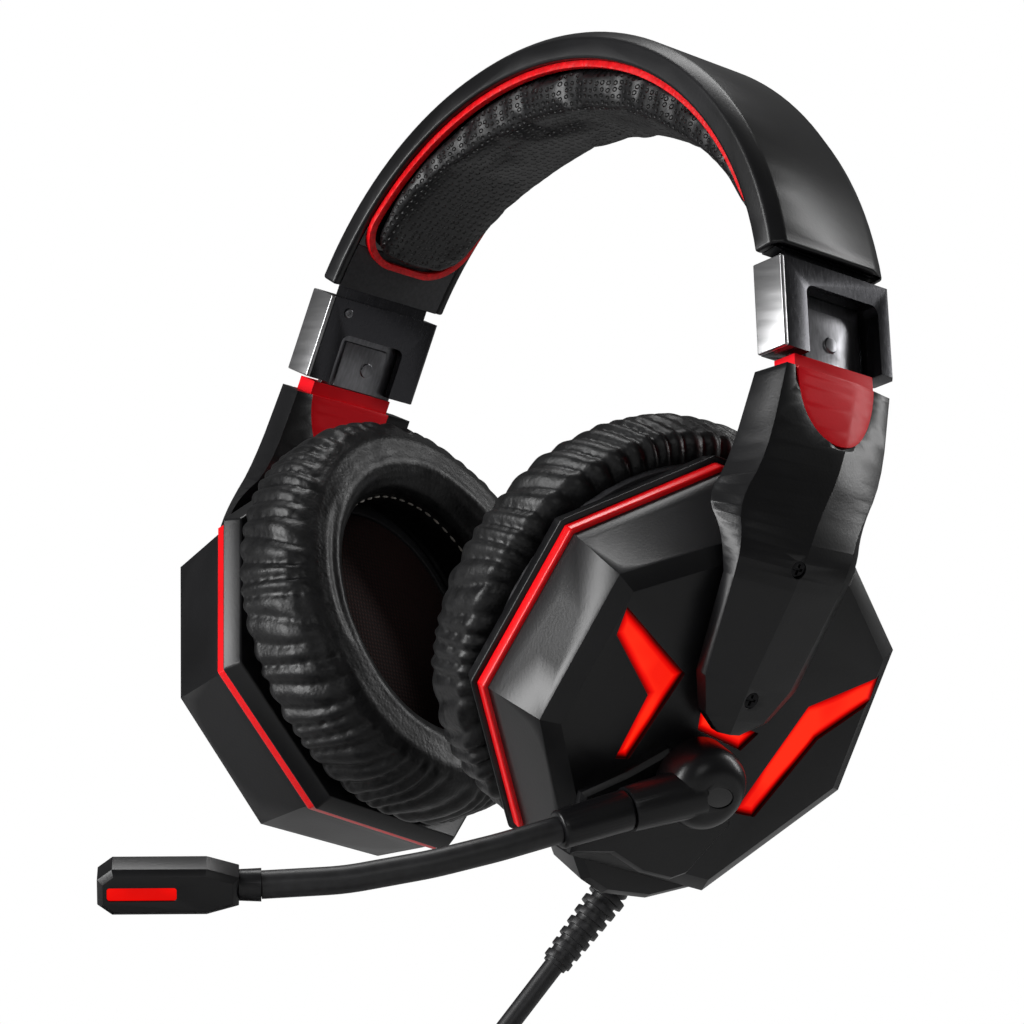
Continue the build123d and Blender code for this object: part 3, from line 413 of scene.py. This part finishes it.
EDGE_RADII = {
    "headband_shell": 0.7, "headband_liner": 0.3, "headband_piping": 0.65, "headband_ends": 0.4,
    "bracket_left": 0.6, "bracket_right": 0.6, "bracket_faces": 0.35, "bracket_screws": 0.12,
    "mic_base": 0.35, "mic_hub": 0.5, "mic_hub_cap": 0.15, "boom_sleeve": 0.6, "mic_collar": 0.5,
    "mic_housing": 0.5, "mic_light": 0.15, "cord_gland": 0.4, "cord_relief": 0.4, "cord_tie": 0.3,
    "plug_body": 0.7, "plug_shell": 0.2,
}
PAIRED_RADII = {
    "cup_shell": 0.55, "accent_ring": 0.5, "housing": 0.5, "arm": 0.55, "arm_insert": 0.3, "arm_screws": 0.15,
    "slider_plate": 0.3, "cushion_carrier": 0.3,
}
for name, width in PAIRED_RADII.items():
    for side in SIDES:
        EDGE_RADII[f"{name}_{side}"] = width
# the faceted pieces have crisp ridges where their faces meet at a small angle
USUAL_LIMIT = 32
RIDGE_LIMITS = {"cup_shell": 9, "housing": 9, "arm": 7, "mic_housing": 12, "mic_base": 12, "cord_gland": 12}
moulded = {}
for name, width in EDGE_RADII.items():
    family = name.removesuffix("_left").removesuffix("_right")
    moulded[name] = softened(name, width, RIDGE_LIMITS.get(family, USUAL_LIMIT))

# ---------------- ear cushions ----------------
CENTRE_V = -3.0
IN_X, IN_V, OUT_X, OUT_V = 25.0, 28.5, 44.5, 47.5
PLEATS = 60
STITCHES = 56
# section through the cushion from its inner back edge round: share of the width, height over the accent ring
SECTION = [
    (0.24, -8.2), (0.19, -11.0), (0.12, -14.5), (0.06, -18.0), (0.04, -21.5), (0.08, -24.8), (0.18, -27.4),
    (0.32, -29.0), (0.48, -29.6), (0.64, -29.1), (0.79, -27.5), (0.9, -25.0), (0.965, -21.8), (0.985, -18.2),
    (0.975, -14.6), (0.955, -11.4), (0.9, -8.7), (0.75, -8.1), (0.6, -8.05), (0.42, -8.1),
]


def cushion_ring():
    """Ring cushion in a cup's own axes, in metres, before it is inflated."""
    bm = bmesh.new()
    loop = [bm.verts.new(((IN_X + share * (OUT_X - IN_X)) * MM, 0, level * MM)) for share, level in SECTION]
    edges = [bm.edges.new((a, b)) for a, b in zip(loop, loop[1:] + loop[:1])]
    bmesh.ops.subdivide_edges(bm, edges=edges[:15], cuts=1)
    bmesh.ops.spin(bm, geom=bm.verts[:] + bm.edges[:], cent=(0, 0, 0), axis=(0, 0, 1), dvec=(0, 0, 0),
                   angle=2 * pi, steps=170, use_merge=True, use_duplicate=False)
    bmesh.ops.remove_doubles(bm, verts=bm.verts, dist=1e-6)
    bmesh.ops.recalc_face_normals(bm, faces=bm.faces)
    for vert in bm.verts:
        share = (hypot(vert.co.x, vert.co.y) / MM - IN_X) / (OUT_X - IN_X)
        turn = atan2(vert.co.y, vert.co.x)
        vert.co.x = (IN_X + share * (OUT_X - IN_X)) * cos(turn) * MM
        vert.co.y = ((IN_V + share * (OUT_V - IN_V)) * sin(turn) + CENTRE_V) * MM
    return bm


def inflate(bm, name, held, most, pressure=4.0):
    """Cloth under pressure from inside: held points stay, no point moves further than most (metres)."""
    mesh = bpy.data.meshes.new(name)
    bm.to_mesh(mesh)
    bm.free()
    made = bpy.data.objects.new(name, mesh)
    bpy.context.collection.objects.link(made)
    rest = [vert.co.copy() for vert in mesh.vertices]
    group = made.vertex_groups.new(name="held")
    group.add([i for i, co in enumerate(rest) if held(co)], 1.0, "REPLACE")
    cloth = made.modifiers.new("cover", "CLOTH")
    cloth.settings.quality = 5
    cloth.settings.use_pressure = True
    cloth.settings.uniform_pressure_force = pressure
    cloth.settings.vertex_group_mass = "held"
    cloth.settings.effector_weights.gravity = 0
    cloth.settings.shrink_min = -0.03
    for step in range(1, 21):
        bpy.context.scene.frame_set(step)
    depsgraph = bpy.context.evaluated_depsgraph_get()
    shaped = bpy.data.meshes.new_from_object(made.evaluated_get(depsgraph))
    for vert, start in zip(shaped.vertices, rest):
        move = vert.co - start
        if move.length > most:
            vert.co = start + move.normalized() * most
    bpy.data.objects.remove(made)
    bm = bmesh.new()
    bm.from_mesh(shaped)
    return bm


def smoothstep(low, high, value):
    t = min(max((value - low) / (high - low), 0.0), 1.0)
    return t * t * (3 - 2 * t)


def pleat(bm, seed):
    """Gathers the outer wall into soft pleats that run from the back seam towards the face."""
    bm.normal_update()
    moves = []
    for vert in bm.verts:
        x, v, w = vert.co.x / MM, vert.co.y / MM - CENTRE_V, vert.co.z / MM
        turn = atan2(v / OUT_V, x / OUT_X)
        reach = hypot(x / OUT_X, v / OUT_V)
        section = degrees(atan2(-(w + 18.0), (reach - 0.79) * 60))
        drift = noise.noise(Vector((cos(turn) * 3, sin(turn) * 3, seed))) * 1.1
        slant = 0.012 * (w + 8)
        phase = turn / (2 * pi) * PLEATS + drift + slant * 6
        which = int(phase // 1)
        kind = noise.noise(Vector((which * 1.7, seed * 3.1, 0.5)))
        ends = 50 + 22 * kind
        amount = smoothstep(0.84, 0.93, reach) * (1 - smoothstep(ends - 26, ends + 6, section))
        fold = abs(sin(pi * phase)) ** 0.62
        depth = (1.5 + 0.7 * kind) * amount
        sag = noise.noise(Vector((x * 0.09, v * 0.09, w * 0.09 + seed))) * 0.35
        moves.append(vert.normal * ((fold - 0.72) * depth + sag * smoothstep(-9, -14, w)) * MM)
    for vert, move in zip(bm.verts, moves):
        vert.co += move
    return bm


def seam_groove(bm, level, depth):
    """Pulls in the line where two panels are sewn, round the inner wall."""
    for vert in bm.verts:
        w = vert.co.z / MM
        x, v = vert.co.x / MM, vert.co.y / MM - CENTRE_V
        reach = hypot(x / OUT_X, v / OUT_V)
        if reach < 0.8:
            pull = depth * max(0.0, 1 - abs(w - level) / 1.1)
            vert.co += Vector((x, v, 0)).normalized() * pull * MM
    return bm


def make_cushion(side, seed, start):
    bm = start.copy()
    bmesh.ops.subdivide_edges(bm, edges=bm.edges, cuts=1, use_grid_fill=True, smooth=0.8)
    pleat(bm, seed)
    seam_groove(bm, -21.5, 0.5)
    made = piece("cushion_cover_" + side, bm, side + "_cup", soft_leather, cup_place(side),
                 stands_for=("ear_cushion_" + side,))
    skin = made.modifiers.new("skin", "SUBSURF")
    skin.levels = skin.render_levels = 1
    return made


start = inflate(cushion_ring(), "ring", lambda co: co.z > -0.0092, 0.0022)
covers = {side: make_cushion(side, seed, start) for side, seed in (("left", 1.3), ("right", 7.9))}
start.free()


def stitches(side):
    """Row of lock stitches round the inner seam, each standing out of the leather."""
    mesh = covers[side].evaluated_get(bpy.context.evaluated_depsgraph_get()).to_mesh()
    skin = BVHTree.FromPolygons([v.co.copy() for v in mesh.vertices], [p.vertices[:] for p in mesh.polygons])
    place = cup_place(side)
    bm = bmesh.new()
    for i in range(STITCHES):
        ends = []
        for part in (0.16, 0.84):
            turn = 2 * pi * (i + part) / STITCHES
            inside = place @ Vector((12 * cos(turn) * MM, (15 * sin(turn) + CENTRE_V) * MM, -20.7 * MM))
            outward = place.to_3x3() @ Vector((IN_X * cos(turn), IN_V * sin(turn), 0)).normalized()
            hit = skin.ray_cast(inside, outward)[0]
            if hit is None:
                break
            ends.append(hit - outward * 0.12 * MM)
        if len(ends) < 2:
            continue
        along = ends[1] - ends[0]
        turned = along.to_track_quat("Z", "Y").to_matrix().to_4x4()
        bmesh.ops.create_uvsphere(bm, u_segments=7, v_segments=6, radius=1.0, matrix=Matrix.Translation(
            (ends[0] + ends[1]) / 2) @ turned @ Matrix.Diagonal((0.26 * MM, 0.26 * MM, along.length / 2, 1)))
    covers[side].to_mesh_clear()
    return piece("seam_stitches_" + side, bm, side + "_cup", thread)


for side in SIDES:
    stitches(side)


def speaker_cover(side):
    """Acoustic cloth stretched over the baffle, slightly bowed, with its knit mapped in millimetres."""
    bm = bmesh.new()
    bmesh.ops.create_circle(bm, cap_ends=True, segments=72, radius=1.0)
    for _ in range(7):
        face = [f for f in bm.faces if len(f.verts) > 4]
        bmesh.ops.inset_region(bm, faces=face, thickness=0.13, use_even_offset=True)
    layer = bm.loops.layers.uv.new("threads")
    for face in bm.faces:
        for loop in face.loops:
            loop[layer].uv = (loop.vert.co.x * 28.6, loop.vert.co.y * 30.6)
    for vert in bm.verts:
        reach = min(hypot(vert.co.x, vert.co.y), 1.0)
        bow = 0.8 * (1 - reach ** 2) + 0.25 * noise.noise(vert.co * 2.4)
        vert.co = Vector((vert.co.x * 28.6, vert.co.y * 30.6 - 3, -7.5 - bow)) * MM
    if sum(f.normal.z * f.calc_area() for f in bm.faces) > 0:
        bmesh.ops.reverse_faces(bm, faces=bm.faces)
    made = piece("speaker_cover_" + side, bm, side + "_cup", knit, cup_place(side),
                 stands_for=("speaker_cloth_" + side,))
    thick = made.modifiers.new("cloth_thickness", "SOLIDIFY")
    thick.thickness = 0.4 * MM


for side in SIDES:
    speaker_cover(side)

# ---------------- crown pad ----------------
BAND_CENTRE_Z = -67.7  # the band's own curve, in mm
PAD_BACK_R, PAD_MOST_R, PAD_MAP_R = 77.2, 78.9, 74  # held against the band, limit of its swelling, middle
PAD_UNDER_R, PAD_UNDER_OFF = 83.0, 15.3  # curve of the underside, and how far its centre is off
DIMPLE_PITCH = 1.9


def crown_cushion():
    bm = merged_copy("crown_pad")
    mesh = bpy.data.meshes.new("pad_start")
    bmesh.ops.triangulate(bm, faces=bm.faces)
    bm.to_mesh(mesh)
    bm.free()
    made = bpy.data.objects.new("pad_start", mesh)
    bpy.context.collection.objects.link(made)
    remesh = made.modifiers.new("even", "REMESH")
    remesh.mode = "VOXEL"
    remesh.voxel_size = 0.0016
    shaped = bpy.data.meshes.new_from_object(made.evaluated_get(bpy.context.evaluated_depsgraph_get()))
    bpy.data.objects.remove(made)
    bm = bmesh.new()
    bm.from_mesh(shaped)
    for _ in range(14):
        bmesh.ops.smooth_vert(bm, verts=bm.verts, factor=0.5,
                              use_axis_x=True, use_axis_y=True, use_axis_z=True)
    bm = inflate(bm, "pad_cover", lambda co: hypot(co.x / MM, co.z / MM - BAND_CENTRE_Z) > PAD_BACK_R, 0.0012)
    for vert in bm.verts:
        rise = Vector((vert.co.x, 0, vert.co.z - BAND_CENTRE_Z * MM))
        if rise.length > PAD_MOST_R * MM:
            vert.co -= rise.normalized() * (rise.length - PAD_MOST_R * MM)
    layer = bm.loops.layers.uv.new("pad_rows")
    for face in bm.faces:
        for loop in face.loops:
            co = loop.vert.co / MM
            turn = atan2(co.z - BAND_CENTRE_Z, co.x)
            under = sqrt(PAD_UNDER_R ** 2 - (PAD_UNDER_OFF * cos(turn)) ** 2) - PAD_UNDER_OFF * sin(turn)
            wall = max(0.0, hypot(co.x, co.z - BAND_CENTRE_Z) - under)
            across = (abs(co.y) + wall) * (1 if co.y > 0 else -1)
            loop[layer].uv = (turn * PAD_MAP_R / DIMPLE_PITCH, across / DIMPLE_PITCH)
    made = piece("crown_cushion", bm, "headband", pad_leather, stands_for=("crown_pad",))
    skin = made.modifiers.new("skin", "SUBSURF")
    skin.levels = skin.render_levels = 1


crown_cushion()

# ---------------- lit panels ----------------
FRONT_LIGHT = [(-32.2, 12.0), (-11.4, 0.6), (-16.6, -20.2), (-20.0, -20.6), (-18.4, -5.6), (-32.0, 5.6)]
REAR_LIGHT = [(39.0, 9.6), (23.4, -0.6), (15.6, -27.4), (21.4, -27.4), (29.4, -7.4), (39.6, 3.6)]
MIDDLE_LIGHT = [(-3.6, -6.4), (13.4, -8.8), (10.6, -13.4), (-2.4, -10.8)]
GUIDE_TOP, GUIDE_DEPTH = 20.2, 1.9


def lit_panels(side):
    """Three light guides of a cup: sloped rims, raised middles, brighter towards the core."""
    bm = bmesh.new()
    glow = bm.verts.layers.float.new("glow")
    for outline in (FRONT_LIGHT, REAR_LIGHT, MIDDLE_LIGHT):
        face = bm.faces.new([bm.verts.new((x, v, GUIDE_TOP)) for x, v in outline])
        following = outline[1:] + outline[:1]
        if sum(a[0] * b[1] - b[0] * a[1] for a, b in zip(outline, following)) < 0:
            bmesh.ops.reverse_faces(bm, faces=[face])
        deep = bmesh.ops.extrude_face_region(bm, geom=[face])["geom"]
        low = [part for part in deep if isinstance(part, bmesh.types.BMVert)]
        bmesh.ops.translate(bm, vec=(0, 0, -GUIDE_DEPTH), verts=low)
        bmesh.ops.reverse_faces(bm, faces=[part for part in deep if isinstance(part, bmesh.types.BMFace)])
        top = face
        for thickness, rise, heat in ((0.5, 0.0, 0.3), (0.7, 0.3, 0.75), (0.9, 0.1, 1.0)):
            bmesh.ops.inset_region(bm, faces=[top], thickness=thickness, depth=0, use_even_offset=True)
            for vert in top.verts:
                vert.co.z += rise
                vert[glow] = heat
    bmesh.ops.recalc_face_normals(bm, faces=bm.faces)
    place = cup_place(side) @ Matrix.Scale(MM, 4)
    made = piece("lit_panels_" + side, bm, side + "_cup", lit_guide, place,
                 stands_for=("light_guides_" + side,))
    made.data.shade_flat()
    return made


for side in SIDES:
    lit_panels(side)

# the lit bar of the microphone glows evenly along its middle
bar = moulded["mic_light"]
heat = bar.data.attributes.new("glow", "FLOAT", "POINT")
heat.data.foreach_set("value", [0.8] * len(bar.data.vertices))

# ---------------- floor, light, background ----------------
floor_bm = bmesh.new()
bmesh.ops.create_circle(floor_bm, cap_ends=True, segments=96, radius=0.7,
                        matrix=Matrix.Translation((0, 0, cad_box[0][2] - 0.0002)))
floor_mesh = bpy.data.meshes.new("studio_floor")
floor_bm.to_mesh(floor_mesh)
floor_bm.free()
floor = bpy.data.objects.new("studio_floor", floor_mesh)
bpy.context.collection.objects.link(floor)
floor_paint, tree, shader, place = finish("matt_pale_floor", "#bebebe", 0.85)
floor_mesh.materials.append(floor_paint)

MIDDLE = Vector((0, -0.01, -0.1))
AWAY = Vector((-0.762104, 0.634838, 0.127195))
RIGHT = Vector((0.647454, 0.747549, 0.148233))
UP = Vector((0.0, 0.0, 1.0))


def softbox(name, right, up, away, width, height, watts, colour="#ffffff"):
    """Soft studio light at a place given to the camera's right, up and away, turned to the headset."""
    light = bpy.data.lights.new(name, "AREA")
    light.shape = "RECTANGLE"
    light.size, light.size_y, light.energy = width, height, watts
    light.color = linear(colour)[:3]
    made = bpy.data.objects.new(name, light)
    bpy.context.collection.objects.link(made)
    made.location = MIDDLE + RIGHT * right + UP * up + AWAY * away
    made.rotation_euler = (MIDDLE - made.location).to_track_quat("-Z", "Y").to_euler()


softbox("key_left", -1.0, 0.35, -0.45, 0.4, 0.8, 15)
softbox("top_rear", -0.1, 1.1, 0.3, 0.9, 0.25, 7)
softbox("strip_right", 1.0, 0.45, 0.3, 0.14, 0.8, 5)
softbox("fill_front", 0.3, 0.5, -1.4, 0.5, 0.5, 1.5)

world = bpy.data.worlds.new("white_studio")
bpy.context.scene.world = world
world.use_nodes = True
sky = world.node_tree
sky.nodes["Background"].inputs["Color"].default_value = (1, 1, 1, 1)
seen = node(sky, "ShaderNodeLightPath")
level = node(sky, "ShaderNodeMapRange", {"Value": seen.outputs["Is Camera Ray"], 3: 0.1, 4: 1.0})
sky.links.new(level.outputs["Result"], sky.nodes["Background"].inputs["Strength"])
bpy.context.scene.view_settings.view_transform = "Standard"
